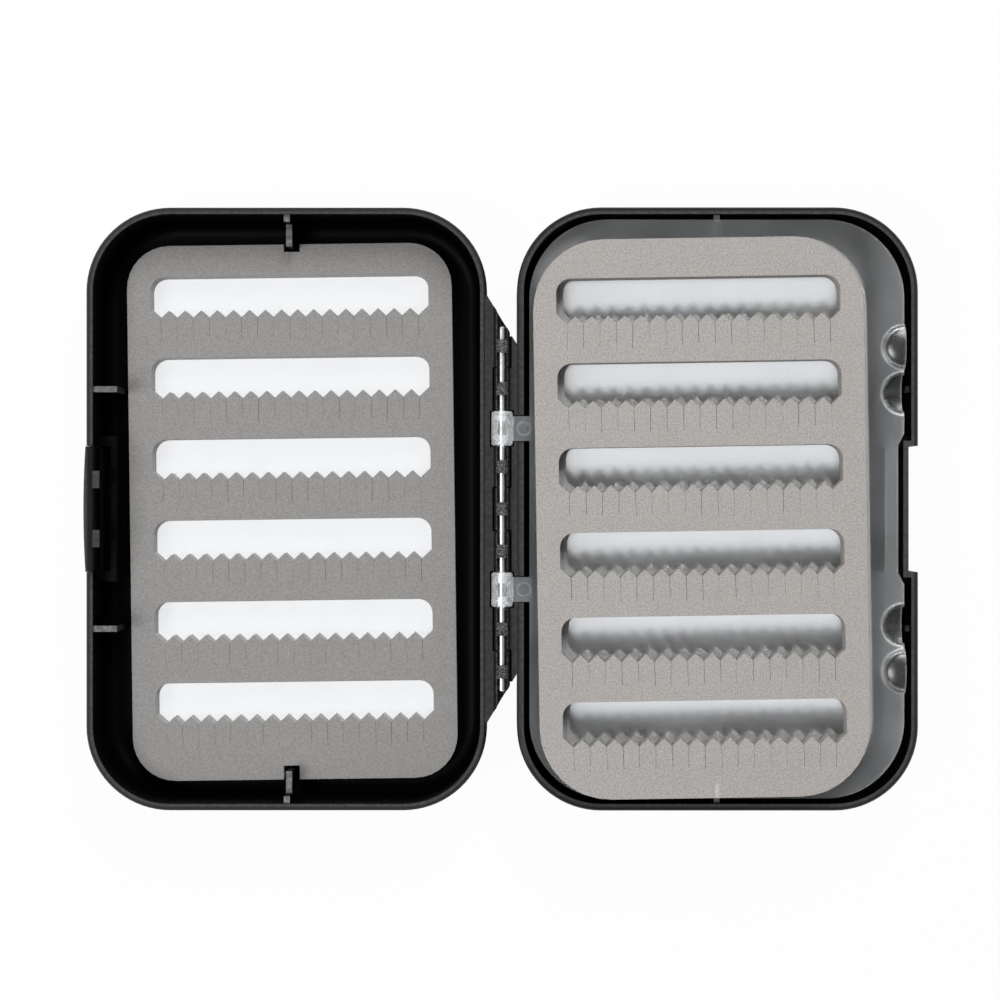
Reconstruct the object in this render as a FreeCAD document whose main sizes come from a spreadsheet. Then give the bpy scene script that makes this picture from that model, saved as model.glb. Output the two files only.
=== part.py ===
"""A fly box opened flat: a lid and a base on one hinge pin, a clear swing leaf between
them, a slit foam sheet in each half and on each face of the leaf, and a snap latch.

Frame: millimetres, +Z up, origin on the table under the middle of the hinge. The base
lies towards +X, the lid towards -X and the hinge pin along Y.
"""
import FreeCAD, Part
import math
import os
import re
import Sketcher
from FreeCAD import Placement, Rotation, Vector

doc = FreeCAD.newDocument("fly_box")
sheet = doc.addObject("Spreadsheet::Sheet", "sizes")

# The lid is modelled as the base is, then turned to the other side of the hinge.
HALF_TURN = Placement(Vector(), Rotation(Vector(0, 0, 1), 180))

# Driving dimensions, in millimetres, degrees and counts.
DRIVING = {
    # The two moulded trays.
    "shell_width": 100.3,
    "shell_length": 150.9,
    "shell_depth": 18,
    "wall": 1.7,
    "corner_radius": 21,
    "heel_radius": 5,
    "rim_gap": 0.1,
    "lid_rim_chamfer": 0.75,
    "base_rim_chamfer": 0.35,
    "hinge_reach": 3.75,
    # Ribs inside the trays.
    "rib_thickness": 1.5,
    "rib_bite_share": 0.125,
    "end_rib_length": 7.3,
    "end_rib_seat": 1.8,
    "side_rib_length": 5.9,
    "side_rib_seat": 1,
    "side_rib_offset": 30,
    "lid_seat_drop": 0.8,
    "lid_web_drop": 5.6,
    "base_seat_drop": 2.1,
    "base_web_drop": 7.1,
    # Clear panes in the floors.
    "pane_margin": 10.5,
    "pane_thickness": 1,
    "pane_radius": 8,
    "pane_ledge": 2,
    "pane_clearance": 0.1,
    # Hinge.
    "pin_diameter": 2,
    "pin_length": 91,
    "pin_chamfer": 0.25,
    "pin_clearance": 0.04,
    "knuckle_radius": 2,
    "middle_knuckle": 10.75,
    "second_knuckle": 10.3,
    "clip_zone": 8.9,
    "third_knuckle": 10.75,
    "end_knuckle": 16.6,
    "outer_strap_offset": 40.6,
    "knuckle_gap": 0.3,
    "strap_length": 3.25,
    "strap_lap": 0.2,
    "trough_width": 2.5,
    "flange_drop": 0.3,
    "flange_gap": 0.4,
    "base_flange_half": 43.4,
    "base_mitre_half": 41.2,
    "apron_thickness": 0.8,
    "apron_gap": 0.15,
    "apron_reach": 3.2,
    "lid_flange_half": 53.5,
    "lid_mitre_half": 42.4,
    "lid_mitre_reach": 3,
    # Swing leaf.
    "leaf_thickness": 1.5,
    "leaf_drop": 0.1,
    "leaf_margin": 1.4,
    "leaf_edge_gap": 1.8,
    "leaf_radius": 19.5,
    "leaf_inset": 1.5,
    "leaf_inset_half": 15.9,
    "leaf_inset_slope": 3,
    "leaf_clearance": 0.3,
    "clip_radius": 2.65,
    "clip_strap": 2.6,
    "clip_round": 0.6,
    "tab_width": 6.2,
    "mark_radius": 1.65,
    "mark_depth": 0.2,
    "mark_reach": 5.5,
    "dome_radius": 5.7,
    "dome_height": 2.6,
    "dome_wall": 1.1,
    "outer_dome_offset": 40.5,
    "inner_dome_offset": 29,
    # Latch and its catch.
    "latch_half": 15.6,
    "latch_thickness": 1.75,
    "latch_setback": 0.35,
    "latch_rise": 2.5,
    "latch_lip": 1.6,
    "latch_bow": 0.5,
    "latch_pivot_drop": 8,
    "latch_barrel": 1.5,
    "stub_radius": 0.8,
    "stub_length": 1.8,
    "hook_offset": 7.35,
    "hook_length": 4.3,
    "hook_reach": 1.75,
    "hook_nose": 0.5,
    "hook_slope": 0.4,
    "hook_play": 0.25,
    "catch_half": 15.8,
    "catch_lip": 1.3,
    "catch_lip_height": 1.2,
    "catch_depth": 4.9,
    "catch_height": 10.4,
    "catch_wall": 1.3,
    "catch_cheek": 2.6,
    "catch_play": 0.3,
    "lid_recess_height": 10.4,
    # Slit foam sheets and the films under them: one cut for the trays, one for the leaf.
    "foam_thickness": 5,
    "tape_thickness": 0.15,
    "tape_margin": 1,
    "tape_relief": 0.8,
    "slot_count": 6,
    "slot_corner": 3.6,
    "slot_end_margin": 2.6,
    "tooth_count": 16,
    "tooth_height": 1.9,
    "slit_length": 6,
    "slit_mouth": 0.25,
    "shell_foam_side_gap": 8.525,
    "shell_foam_end_gap": 6.875,
    "shell_foam_radius": 11,
    "shell_slot_margin": 6.025,
    "shell_slot_height": 8.6,
    "shell_first_slot": 8,
    "shell_last_slot": 25,
    "leaf_foam_side_gap": 9.3,
    "leaf_foam_end_gap": 6.2,
    "leaf_foam_radius": 17.5,
    "leaf_slot_margin": 5.75,
    "leaf_slot_height": 9.3,
    "leaf_first_slot": 9.6,
    "leaf_last_slot": 24.15,
    "notch_width": 4.1,
    "notch_clearance": 0.6,
    "lid_shift": 0.15,
    "lid_offset": -0.8,
    "lid_turn": 0.75,
    "base_shift": -1.9,
    "base_offset": 0.8,
    "base_turn": 1.2,
    "leaf_front_shift": -4.55,
    "leaf_front_offset": -2.2,
    "leaf_front_turn": 0.9,
    "leaf_back_shift": -2.55,
    "leaf_back_offset": -1.3,
    "leaf_back_turn": -0.9,
    # How far every cut runs past the face that it opens.
    "overrun": 1,
    # How close two places are when they count as one.
    "match_tolerance": 0.001,
}

# Places that follow from the driving dimensions.
DERIVED = {
    "axis_height": "shell_depth + rim_gap",
    "wall_far": "hinge_reach + shell_width",
    "half_length": "shell_length / 2",
    "inner_near": "hinge_reach + wall",
    "inner_far": "wall_far - wall",
    "inner_half": "half_length - wall",
    "inner_radius": "corner_radius - wall",
    "tray_middle": "hinge_reach + shell_width / 2",
    "pane_near": "hinge_reach + pane_margin",
    "pane_far": "wall_far - pane_margin",
    "pane_half": "half_length - pane_margin",
    "opening_near": "pane_near + pane_ledge",
    "opening_far": "pane_far - pane_ledge",
    "opening_half": "pane_half - pane_ledge",
    "opening_radius": "pane_radius - pane_ledge",
    "rebate_near": "pane_near - pane_clearance",
    "rebate_far": "pane_far + pane_clearance",
    "rebate_half": "pane_half + pane_clearance",
    "rebate_radius": "pane_radius + pane_clearance",
    "heel_reach": "heel_radius - wall * rib_bite_share",
    "heel_top": "heel_radius",
    "heel_low": "heel_radius - heel_reach",
    "end_heel": "half_length - heel_radius",
    "end_heel_out": "end_heel + heel_reach",
    "end_rib_tip": "inner_half - end_rib_length",
    "end_seat_tip": "inner_half - end_rib_seat",
    "end_rib_back": "inner_half + wall / 2",
    "side_heel": "wall_far - heel_radius",
    "side_heel_out": "side_heel + heel_reach",
    "side_rib_tip": "inner_far - side_rib_length",
    "side_seat_tip": "inner_far - side_rib_seat",
    "side_rib_back": "inner_far + wall / 2",
    "lid_seat": "shell_depth - lid_seat_drop",
    "lid_web": "shell_depth - lid_web_drop",
    "base_seat": "shell_depth - base_seat_drop",
    "base_web": "shell_depth - base_web_drop",
    "bore_radius": "pin_diameter / 2 + pin_clearance",
    "first_end": "middle_knuckle / 2",
    "second_end": "first_end + second_knuckle",
    "clip_end": "second_end + clip_zone",
    "third_end": "clip_end + third_knuckle",
    "last_end": "third_end + end_knuckle",
    "clip_middle": "second_end + clip_zone / 2",
    "base_middle_end": "first_end - knuckle_gap / 2",
    "base_outer_start": "clip_end + knuckle_gap / 2",
    "base_outer_end": "third_end - knuckle_gap / 2",
    "lid_inner_start": "first_end + knuckle_gap / 2",
    "lid_inner_end": "second_end - knuckle_gap / 2",
    "lid_outer_start": "third_end + knuckle_gap / 2",
    "strap_half": "strap_length / 2",
    "base_strap_low": "(base_outer_start + base_outer_end - strap_length) / 2",
    "base_strap_high": "base_strap_low + strap_length",
    "lid_inner_strap_low": "(lid_inner_start + lid_inner_end - strap_length) / 2",
    "lid_inner_strap_high": "lid_inner_strap_low + strap_length",
    "lid_outer_strap_low": "outer_strap_offset - strap_length / 2",
    "lid_outer_strap_high": "lid_outer_strap_low + strap_length",
    "trough_half": "trough_width / 2",
    "gap_reach": "knuckle_radius + overrun",
    "clip_clear": "clip_radius + flange_gap",
    "flange_near": "knuckle_radius + flange_gap",
    "flange_far": "hinge_reach + wall / 2",
    "flange_low": "axis_height - knuckle_radius",
    "flange_high": "axis_height - flange_drop",
    "mitre_clear": "lid_flange_half + end_knuckle",
    "base_mitre_clear": "base_flange_half + overrun",
    "apron_high": "axis_height - clip_radius - apron_gap",
    "apron_low": "apron_high - apron_thickness",
    "leaf_top": "axis_height - leaf_drop",
    "leaf_low": "leaf_top - leaf_thickness",
    "leaf_near": "inner_near + leaf_margin",
    "leaf_far": "inner_far - leaf_edge_gap",
    "leaf_half": "inner_half - leaf_margin",
    "leaf_inset_far": "leaf_far - leaf_inset",
    "leaf_inset_end": "leaf_inset_half + leaf_inset_slope",
    "leaf_clear": "leaf_far + overrun",
    "latch_outer": "wall_far - latch_setback",
    "latch_inner": "latch_outer - latch_thickness",
    "catch_lip_far": "latch_inner - catch_play",
    "catch_lip_near": "catch_lip_far - catch_lip",
    "catch_back": "wall_far - catch_depth",
    "catch_boss": "catch_back - catch_wall",
    "catch_top": "leaf_low - leaf_clearance",
    "catch_under": "shell_depth - catch_lip_height",
    "catch_low": "shell_depth - catch_height",
    "recess_low": "shell_depth - lid_recess_height",
    "latch_pivot": "latch_outer - latch_barrel",
    "latch_pivot_height": "axis_height - latch_pivot_drop",
    "latch_top": "axis_height + latch_rise",
    "latch_lip_low": "latch_top - latch_lip",
    "latch_end": "wall_far - latch_bow",
    "latch_bow_radius": "(latch_half ^ 2 + latch_bow ^ 2) / (2 * latch_bow)",
    "latch_boss_top": "latch_pivot_height + latch_barrel + hook_play * 2",
    "hook_low": "2 * axis_height - catch_under + hook_play",
    "hook_nose_top": "hook_low + hook_nose",
    "hook_root_top": "hook_nose_top + hook_slope",
    "hook_tip": "latch_inner - hook_reach",
    "hook_root": "latch_inner + latch_thickness / 2",
    "shell_foam_width": "shell_width - 2 * shell_foam_side_gap",
    "shell_foam_length": "shell_length - 2 * shell_foam_end_gap",
    "shell_slot_width": "shell_foam_width - 2 * shell_slot_margin",
    "shell_slot_pitch": "(shell_foam_length - shell_first_slot - shell_last_slot) / (slot_count - 1)",
    "leaf_foam_width": "shell_width - 2 * leaf_foam_side_gap",
    "leaf_foam_length": "shell_length - 2 * leaf_foam_end_gap",
    "leaf_slot_width": "leaf_foam_width - 2 * leaf_slot_margin",
    "leaf_slot_pitch": "(leaf_foam_length - leaf_first_slot - leaf_last_slot) / (slot_count - 1)",
}


def fill_sheet():
    """Write one row a size: its name, then its value or formula under that alias."""
    formulas = {name: "=" + text for name, text in DERIVED.items()}
    for row, (name, value) in enumerate({**DRIVING, **formulas}.items(), start=1):
        sheet.set(f"A{row}", name)
        sheet.set(f"B{row}", str(value))
        sheet.setAlias(f"B{row}", name)
    doc.recompute()


def size(name):
    """The number held by one alias, with an optional sign before its name."""
    if name.startswith("-"):
        return -size(name[1:])
    return float(sheet.get(name))


def bind(thing, target, formula):
    """Tie one property or constraint to the sheet."""
    thing.setExpression(target, re.sub(r"[a-z][a-z_]+", r"sizes.\g<0>", formula))


def new_body(label):
    body = doc.addObject("PartDesign::Body", label)
    body.Label = label
    return body


def place(feature, x, y, z):
    for letter, formula in zip("xyz", (x, y, z)):
        bind(feature, f"Placement.Base.{letter}", formula)


def unrefined(feature):
    """Leave seams between level faces, so that each step stays quick and sound."""
    feature.Refine = False
    return feature


def block(body, kind, name, x, y, z):
    """A box between pairs of places, added to the body or cut from it."""
    feature = unrefined(body.newObject(f"PartDesign::{kind}Box", name))
    for side, (low, high) in zip(("Length", "Width", "Height"), (x, y, z)):
        bind(feature, side, f"({high}) - ({low})")
    place(feature, x[0], y[0], z[0])
    return feature


def rod(body, kind, name, radius, x, y, z):
    """A round bar along Y between two places, added to the body or cut from it."""
    feature = unrefined(body.newObject(f"PartDesign::{kind}Cylinder", name))
    feature.Placement = Placement(Vector(), Rotation(Vector(1, 0, 0), -90))
    bind(feature, "Radius", radius)
    bind(feature, "Height", f"({y[1]}) - ({y[0]})")
    place(feature, x, y[0], z)
    return feature


def new_sketch(body, name, plane, offset):
    """An empty sketch on one of the body's own planes, moved along its normal."""
    sketch = body.newObject("Sketcher::SketchObject", name)
    origin = [item for item in body.Origin.OriginFeatures if item.Role == plane]
    sketch.AttachmentSupport = [(origin[0], "")]
    sketch.MapMode = "FlatFace"
    bind(sketch, "AttachmentOffset.Base.z", offset)
    return sketch


def outline(body, name, plane, loops, offset="0"):
    """Closed loops through points whose two coordinates are each one alias."""
    sketch = new_sketch(body, name, plane, offset)
    for points in loops:
        first = sketch.GeometryCount
        count = len(points)
        corners = [Vector(size(across), size(up), 0) for across, up in points]
        for index in range(count):
            run = Part.LineSegment(corners[index], corners[(index + 1) % count])
            sketch.addGeometry(run, False)
        for index, (across, up) in enumerate(points):
            line = first + index
            following = first + (index + 1) % count
            sketch.addConstraint(Sketcher.Constraint("Coincident", line, 2, following, 1))
            for kind, alias in (("DistanceX", across), ("DistanceY", up)):
                limit = Sketcher.Constraint(kind, -1, 1, line, 1, size(alias))
                bind(sketch, f"Constraints[{sketch.addConstraint(limit)}]", alias)
    return sketch


def mirrored(loop):
    """The same loop on the other side of the X axis."""
    return [(across, up[1:] if up.startswith("-") else "-" + up) for across, up in loop]


def oblong(x, y):
    """A rectangular loop between pairs of aliases."""
    return [(x[0], y[0]), (x[1], y[0]), (x[1], y[1]), (x[0], y[1])]


def rounded(body, name, x, y, radius, level):
    """A closed level sketch: a rectangle between pairs of aliases, with round corners."""
    sketch = new_sketch(body, name, "XY_Plane", level)
    (left, right), (low, high), turn = map(size, x), map(size, y), size(radius)
    centres = [(right - turn, low + turn), (right - turn, high - turn),
               (left + turn, high - turn), (left + turn, low + turn)]
    runs = [((left + turn, low), (right - turn, low)), ((right, low + turn), (right, high - turn)),
            ((right - turn, high), (left + turn, high)), ((left, high - turn), (left, low + turn))]
    up = Vector(0, 0, 1)
    for quarter, ((start, end), centre) in enumerate(zip(runs, centres)):
        sketch.addGeometry(Part.LineSegment(Vector(*start, 0), Vector(*end, 0)), False)
        angle = (quarter - 1) * math.pi / 2
        circle = Part.Circle(Vector(*centre, 0), up, turn)
        sketch.addGeometry(Part.ArcOfCircle(circle, angle, angle + math.pi / 2), False)
    for index in range(8):
        sketch.addConstraint(Sketcher.Constraint("Tangent", index, 2, (index + 1) % 8, 1))
    for line, kind in ((0, "Horizontal"), (2, "Vertical"), (4, "Horizontal"), (6, "Vertical")):
        sketch.addConstraint(Sketcher.Constraint(kind, line))
    for arc in (3, 5, 7):
        sketch.addConstraint(Sketcher.Constraint("Equal", 1, arc))
    limits = [(Sketcher.Constraint("Radius", 1, turn), radius)]
    for kind, line, alias in (("DistanceY", 0, y[0]), ("DistanceX", 2, x[1]),
                              ("DistanceY", 4, y[1]), ("DistanceX", 6, x[0])):
        limits.append((Sketcher.Constraint(kind, -1, 1, line, 1, size(alias)), alias))
    for limit, alias in limits:
        bind(sketch, f"Constraints[{sketch.addConstraint(limit)}]", alias)
    return sketch


def raised(body, name, sketch, length, symmetric=False):
    """Material along a sketch's normal, or half to each side of its plane."""
    pad = unrefined(body.newObject("PartDesign::Pad", name))
    pad.Profile = sketch
    bind(pad, "Length", length)
    if symmetric:
        pad.SideType = "Symmetric"
    return pad


def sunk(body, name, sketch, length):
    """A pocket down from a sketch."""
    pocket = unrefined(body.newObject("PartDesign::Pocket", name))
    pocket.Profile = sketch
    bind(pocket, "Length", length)
    return pocket


def dressed(body, kind, name, amount, edges):
    """A fillet or chamfer on chosen edges of the body as it stands."""
    feature = body.newObject(f"PartDesign::{kind}", name)
    feature.Base = (feature.BaseFeature or body.Tip, edges)
    bind(feature, "Radius" if kind == "Fillet" else "Size", amount)
    return feature


def chosen_edges(body, test):
    """Names of the edges of the body's last feature that pass a test."""
    doc.recompute()
    edges = body.Tip.Shape.Edges
    return [f"Edge{number}" for number, edge in enumerate(edges, start=1) if test(edge)]


def near(first, second):
    return abs(first - second) < size("match_tolerance")


def tray(label, rim_chamfer):
    """A tray with round corners, its hinge side towards the origin."""
    body = new_body(label)
    rim = rounded(body, f"{label}_rim", ("hinge_reach", "wall_far"), ("-half_length", "half_length"),
                  "corner_radius", "shell_depth")
    form = raised(body, f"{label}_form", rim, "shell_depth")
    form.Reversed = True
    heel = chosen_edges(body, lambda edge: near(edge.BoundBox.ZMax, 0))
    dressed(body, "Fillet", f"{label}_heel", "heel_radius", heel)
    mouth = rounded(body, f"{label}_mouth", ("inner_near", "inner_far"), ("-inner_half", "inner_half"),
                    "inner_radius", "shell_depth")
    sunk(body, f"{label}_hollow", mouth, "shell_depth - wall")
    cove = chosen_edges(body, lambda edge: near(edge.BoundBox.ZMax, size("wall"))
                        and near(edge.BoundBox.ZMin, size("wall")))
    dressed(body, "Fillet", f"{label}_cove", "heel_radius - wall", cove)
    doc.recompute()
    flat = [face for face in body.Tip.Shape.Faces if near(face.BoundBox.ZMin, size("shell_depth"))]
    ring = flat[0].OuterWire.Edges
    outer = chosen_edges(body, lambda edge: any(edge.isSame(other) for other in ring))
    dressed(body, "Chamfer", f"{label}_rim_edge", rim_chamfer, outer)
    return body


def window(body):
    """A round-cornered opening in the floor, with a rebate above it for the pane."""
    label = body.Label
    opening = rounded(body, f"{label}_opening_line", ("opening_near", "opening_far"),
                      ("-opening_half", "opening_half"), "opening_radius", "wall")
    sunk(body, f"{label}_opening", opening, "wall + overrun")
    rebate = rounded(body, f"{label}_rebate_line", ("rebate_near", "rebate_far"),
                     ("-rebate_half", "rebate_half"), "rebate_radius", "wall")
    sunk(body, f"{label}_rebate", rebate, "pane_thickness")


def ribs(body, seat, web):
    """Stepped ribs in the middle of both ends, and two ribs on the latch side."""
    label = body.Label
    for end in ("", "-"):
        corners = [("end_rib_back", "heel_top"), ("end_rib_back", seat), ("end_seat_tip", seat),
                   ("end_seat_tip", web), ("end_rib_tip", web), ("end_rib_tip", "heel_low"),
                   ("end_heel", "heel_low"), ("end_heel_out", "heel_top")]
        corners = [(end + across, up) for across, up in corners]
        side = "far" if end else "near"
        shape = outline(body, f"{label}_{side}_rib_line", "YZ_Plane", [corners], "tray_middle")
        raised(body, f"{label}_{side}_rib", shape, "rib_thickness", symmetric=True)
    top = [("side_rib_tip", seat)]
    if label.startswith("base"):
        top = [("side_seat_tip", seat), ("side_seat_tip", web), ("side_rib_tip", web)]
    for sign in ("", "-"):
        corners = [("side_rib_back", "heel_top"), ("side_rib_back", seat), *top,
                   ("side_rib_tip", "heel_low"), ("side_heel", "heel_low"), ("side_heel_out", "heel_top")]
        side = "low" if sign else "high"
        offset = f"0 {sign or '+'} side_rib_offset"
        shape = outline(body, f"{label}_{side}_rib_line", "XZ_Plane", [corners], offset)
        raised(body, f"{label}_{side}_rib", shape, "rib_thickness", symmetric=True)


def hinge(body, flange_half, barrel_half, gaps, troughs, backs):
    """A flange and a row of knuckles, each a trough round the pin that one strap closes."""
    label = body.Label
    block(body, "Additive", f"{label}_flange", ("flange_near", "flange_far"),
          (f"0 - {flange_half}", flange_half), ("flange_low", "flange_high"))
    span = (f"0 - {barrel_half}", barrel_half)
    block(body, "Additive", f"{label}_link", ("0", "flange_far"), span, ("flange_low", "flange_high"))
    rod(body, "Additive", f"{label}_barrel", "knuckle_radius", "0", span, "axis_height")
    above = outline(body, f"{label}_gap_lines", "XY_Plane", gaps, "axis_height + knuckle_radius")
    sunk(body, f"{label}_gaps", above, "2 * knuckle_radius + overrun")
    rod(body, "Subtractive", f"{label}_bore", "bore_radius", "0",
        (f"0 - {barrel_half} - overrun", f"{barrel_half} + overrun"), "axis_height")
    across = ("-trough_half", "trough_half")
    loops = [oblong(across, ends) for ends in troughs]
    above = outline(body, f"{label}_trough_lines", "XY_Plane", loops, "axis_height + knuckle_radius")
    sunk(body, f"{label}_troughs", above, "knuckle_radius")
    loops = [oblong(across, ends) for ends in backs]
    level = outline(body, f"{label}_back_lines", "XY_Plane", loops, "axis_height - strap_lap")
    sunk(body, f"{label}_backs", level, "knuckle_radius + overrun")


def mitres(body, waste):
    """Both ends of a hinge cut off aslant, outside its tray."""
    label = body.Label
    shape = outline(body, f"{label}_mitre_lines", "XY_Plane", [waste, mirrored(waste)],
                    "axis_height + knuckle_radius")
    sunk(body, f"{label}_mitres", shape, "axis_height + knuckle_radius - apron_low")


def both_sides(spans):
    """Spans along the pin, and the same spans on its other half."""
    return spans + [(f"-{high}", f"-{low}") for low, high in spans]


def base_hinge(body):
    gap = [("-gap_reach", "base_middle_end"), ("flange_near", "base_middle_end"),
           ("flange_near", "second_end"), ("clip_clear", "second_end"),
           ("clip_clear", "base_outer_start"), ("-gap_reach", "base_outer_start")]
    troughs = both_sides([("strap_half", "base_strap_low"), ("base_strap_high", "third_end")])
    backs = both_sides([("base_strap_low", "base_strap_high")]) + [("-strap_half", "strap_half")]
    hinge(body, "base_flange_half", "base_outer_end", [gap, mirrored(gap)], troughs, backs)
    waste = [("hinge_reach", "base_mitre_half"), ("flange_near", "base_flange_half"),
             ("flange_near", "base_mitre_clear"), ("hinge_reach", "base_mitre_clear")]
    block(body, "Additive", "hinge_apron", ("0 - apron_reach", "flange_far"),
          ("0 - base_flange_half", "base_flange_half"), ("apron_low", "apron_high"))
    mitres(body, waste)


def lid_hinge(body):
    middle = oblong(("-gap_reach", "flange_near"), ("-lid_inner_start", "lid_inner_start"))
    gap = [("-gap_reach", "lid_inner_end"), ("clip_clear", "lid_inner_end"),
           ("clip_clear", "clip_end"), ("flange_near", "clip_end"),
           ("flange_near", "lid_outer_start"), ("-gap_reach", "lid_outer_start")]
    troughs = both_sides([("lid_inner_strap_high", "lid_outer_strap_low"),
                          ("lid_outer_strap_high", "mitre_clear")])
    troughs.append(("-lid_inner_strap_low", "lid_inner_strap_low"))
    backs = both_sides([("lid_inner_strap_low", "lid_inner_strap_high"),
                        ("lid_outer_strap_low", "lid_outer_strap_high")])
    hinge(body, "lid_flange_half", "last_end", [middle, gap, mirrored(gap)], troughs, backs)
    waste = [("hinge_reach", "lid_flange_half"), ("-lid_mitre_reach", "lid_mitre_half"),
             ("-lid_mitre_reach", "mitre_clear"), ("hinge_reach", "mitre_clear")]
    mitres(body, waste)


def front_block(body, name, near_side, cheek, low, high):
    """A thick place inside the front wall, past both ends of the latch."""
    block(body, "Additive", f"{body.Label}_{name}", (near_side, "inner_far + wall / 2"),
          (f"0 - catch_half - {cheek}", f"catch_half + {cheek}"), (low, high))


def base_shell():
    body = tray("base_shell", "base_rim_chamfer")
    window(body)
    ribs(body, "base_seat", "base_web")
    base_hinge(body)
    front_block(body, "boss", "catch_boss", "catch_cheek", "catch_low - catch_cheek", "catch_top")
    front_block(body, "lip", "catch_lip_near", "catch_lip", "catch_under", "shell_depth")
    opening = ("0 - catch_half", "catch_half")
    block(body, "Subtractive", "catch_notch", ("catch_lip_far", "wall_far + overrun"), opening,
          ("catch_under - overrun", "shell_depth + overrun"))
    block(body, "Subtractive", "catch_room", ("catch_back", "wall_far + overrun"), opening,
          ("catch_low", "catch_under"))
    for side, sign in (("high", ""), ("low", "-")):
        reach = "tab_width / 2 + leaf_clearance"
        block(body, "Subtractive", f"tab_notch_{side}", ("0", "inner_near + overrun"),
              (f"{sign}clip_middle - ({reach})", f"{sign}clip_middle + {reach}"),
              ("leaf_low - leaf_clearance", "axis_height + overrun"))
    return body


def lid_shell():
    body = tray("lid_shell", "lid_rim_chamfer")
    window(body)
    ribs(body, "lid_seat", "lid_web")
    lid_hinge(body)
    front_block(body, "boss", "catch_boss", "catch_cheek", "recess_low - catch_cheek", "latch_boss_top")
    block(body, "Subtractive", "latch_recess", ("catch_back", "wall_far + overrun"),
          ("0 - catch_half", "catch_half"), ("recess_low", "shell_depth + overrun"))
    stub_end = "latch_half + stub_length + leaf_clearance"
    rod(body, "Subtractive", "stub_holes", "stub_radius + pin_clearance", "latch_pivot",
        (f"0 - ({stub_end})", stub_end), "latch_pivot_height")
    body.Placement = HALF_TURN
    return body


def pane(label, turned):
    """A clear pane with round corners in the floor of one tray."""
    body = new_body(label)
    edge = rounded(body, f"{label}_line", ("pane_near", "pane_far"), ("-pane_half", "pane_half"),
                   "pane_radius", "wall - pane_thickness")
    raised(body, f"{label}_sheet", edge, "pane_thickness")
    if turned:
        body.Placement = HALF_TURN
    return body


def hinge_pin():
    body = new_body("hinge_pin")
    rod(body, "Additive", "pin_rod", "pin_diameter / 2", "0",
        ("0 - pin_length / 2", "pin_length / 2"), "axis_height")
    ends = chosen_edges(body, lambda edge: near(edge.BoundBox.YLength, 0))
    dressed(body, "Chamfer", "pin_ends", "pin_chamfer", ends)
    return body


def dome(body, name, side, offset):
    """Half a hollow dome on the leaf's free edge, bulging up or down, for a finger."""
    upward = side == "up"
    level = "leaf_top" if upward else "leaf_low"
    for kind, shrink in (("Additive", "0"), ("Subtractive", "dome_wall")):
        feature = body.newObject(f"PartDesign::{kind}Ellipsoid", f"{name}_{kind.lower()}")
        feature.Placement = Placement(Vector(), Rotation(Vector(0, 0, 1), 90))
        bind(feature, "Radius1", f"dome_height - {shrink}")
        bind(feature, "Radius2", f"dome_radius - {shrink}")
        bind(feature, "Radius3", f"dome_radius - {shrink}")
        feature.Angle1 = 0 if upward else -90
        feature.Angle2 = 90 if upward else 0
        feature.Angle3 = 180
        place(feature, "leaf_far", offset, level)
    low, high = ("leaf_low - overrun", "leaf_top") if upward else ("leaf_low", "leaf_top + overrun")
    well = body.newObject("PartDesign::SubtractiveCylinder", f"{name}_well")
    well.Placement = Placement(Vector(), Rotation(Vector(0, 0, 1), 90))
    bind(well, "Radius", "dome_radius - dome_wall")
    bind(well, "Height", f"{high} - ({low})")
    well.Angle = 180
    place(well, "leaf_far", offset, low)


def leaf_plate():
    body = new_body("leaf_plate")
    edge = rounded(body, "leaf_line", ("leaf_near", "leaf_far"), ("-leaf_half", "leaf_half"),
                   "leaf_radius", "leaf_low")
    raised(body, "leaf_sheet", edge, "leaf_thickness")
    inset = [("leaf_far", "-leaf_inset_end"), ("leaf_inset_far", "-leaf_inset_half"),
             ("leaf_inset_far", "leaf_inset_half"), ("leaf_far", "leaf_inset_end"),
             ("leaf_clear", "leaf_inset_end"), ("leaf_clear", "-leaf_inset_end")]
    shape = outline(body, "leaf_inset_line", "XY_Plane", [inset], "leaf_top")
    sunk(body, "leaf_inset_cut", shape, "leaf_thickness")
    for side, sign in (("high", ""), ("low", "-")):
        dome(body, f"dome_outer_{side}", "up", f"{sign}outer_dome_offset")
        dome(body, f"dome_inner_{side}", "down", f"{sign}inner_dome_offset")
        middle = f"{sign}clip_middle"
        block(body, "Additive", f"tab_{side}", ("0", "leaf_near + leaf_margin"),
              (f"{middle} - tab_width / 2", f"{middle} + tab_width / 2"), ("leaf_low", "leaf_top"))
        mark = body.newObject("PartDesign::SubtractiveCylinder", f"mark_{side}")
        bind(mark, "Radius", "mark_radius")
        bind(mark, "Height", "mark_depth + overrun")
        place(mark, "mark_reach", middle, "leaf_top - mark_depth")
        half = "(clip_zone - knuckle_gap) / 2"
        span = (f"{middle} - {half}", f"{middle} + {half}")
        rod(body, "Additive", f"clip_{side}", "clip_radius", "0", span, "axis_height")
    rings = chosen_edges(body, clip_ring)
    dressed(body, "Fillet", "clip_rounds", "clip_round", rings)
    rod(body, "Subtractive", "clip_bore", "bore_radius", "0",
        ("0 - clip_end", "clip_end"), "axis_height")
    for side, sign in (("high", ""), ("low", "-")):
        middle = f"{sign}clip_middle"
        gap = "(clip_zone - knuckle_gap - 2 * clip_strap) / 2"
        block(body, "Subtractive", f"clip_window_{side}", ("0 - trough_half", "trough_half"),
              (f"{middle} - {gap}", f"{middle} + {gap}"),
              ("axis_height", "axis_height + clip_radius + overrun"))
    return body


def clip_ring(edge):
    """True for the end circles of the leaf's clips, away from the tabs."""
    if edge.Degenerated or not near(edge.BoundBox.YLength, 0):
        return False
    return edge.isClosed() and near(edge.Curve.Radius, size("clip_radius"))


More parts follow.
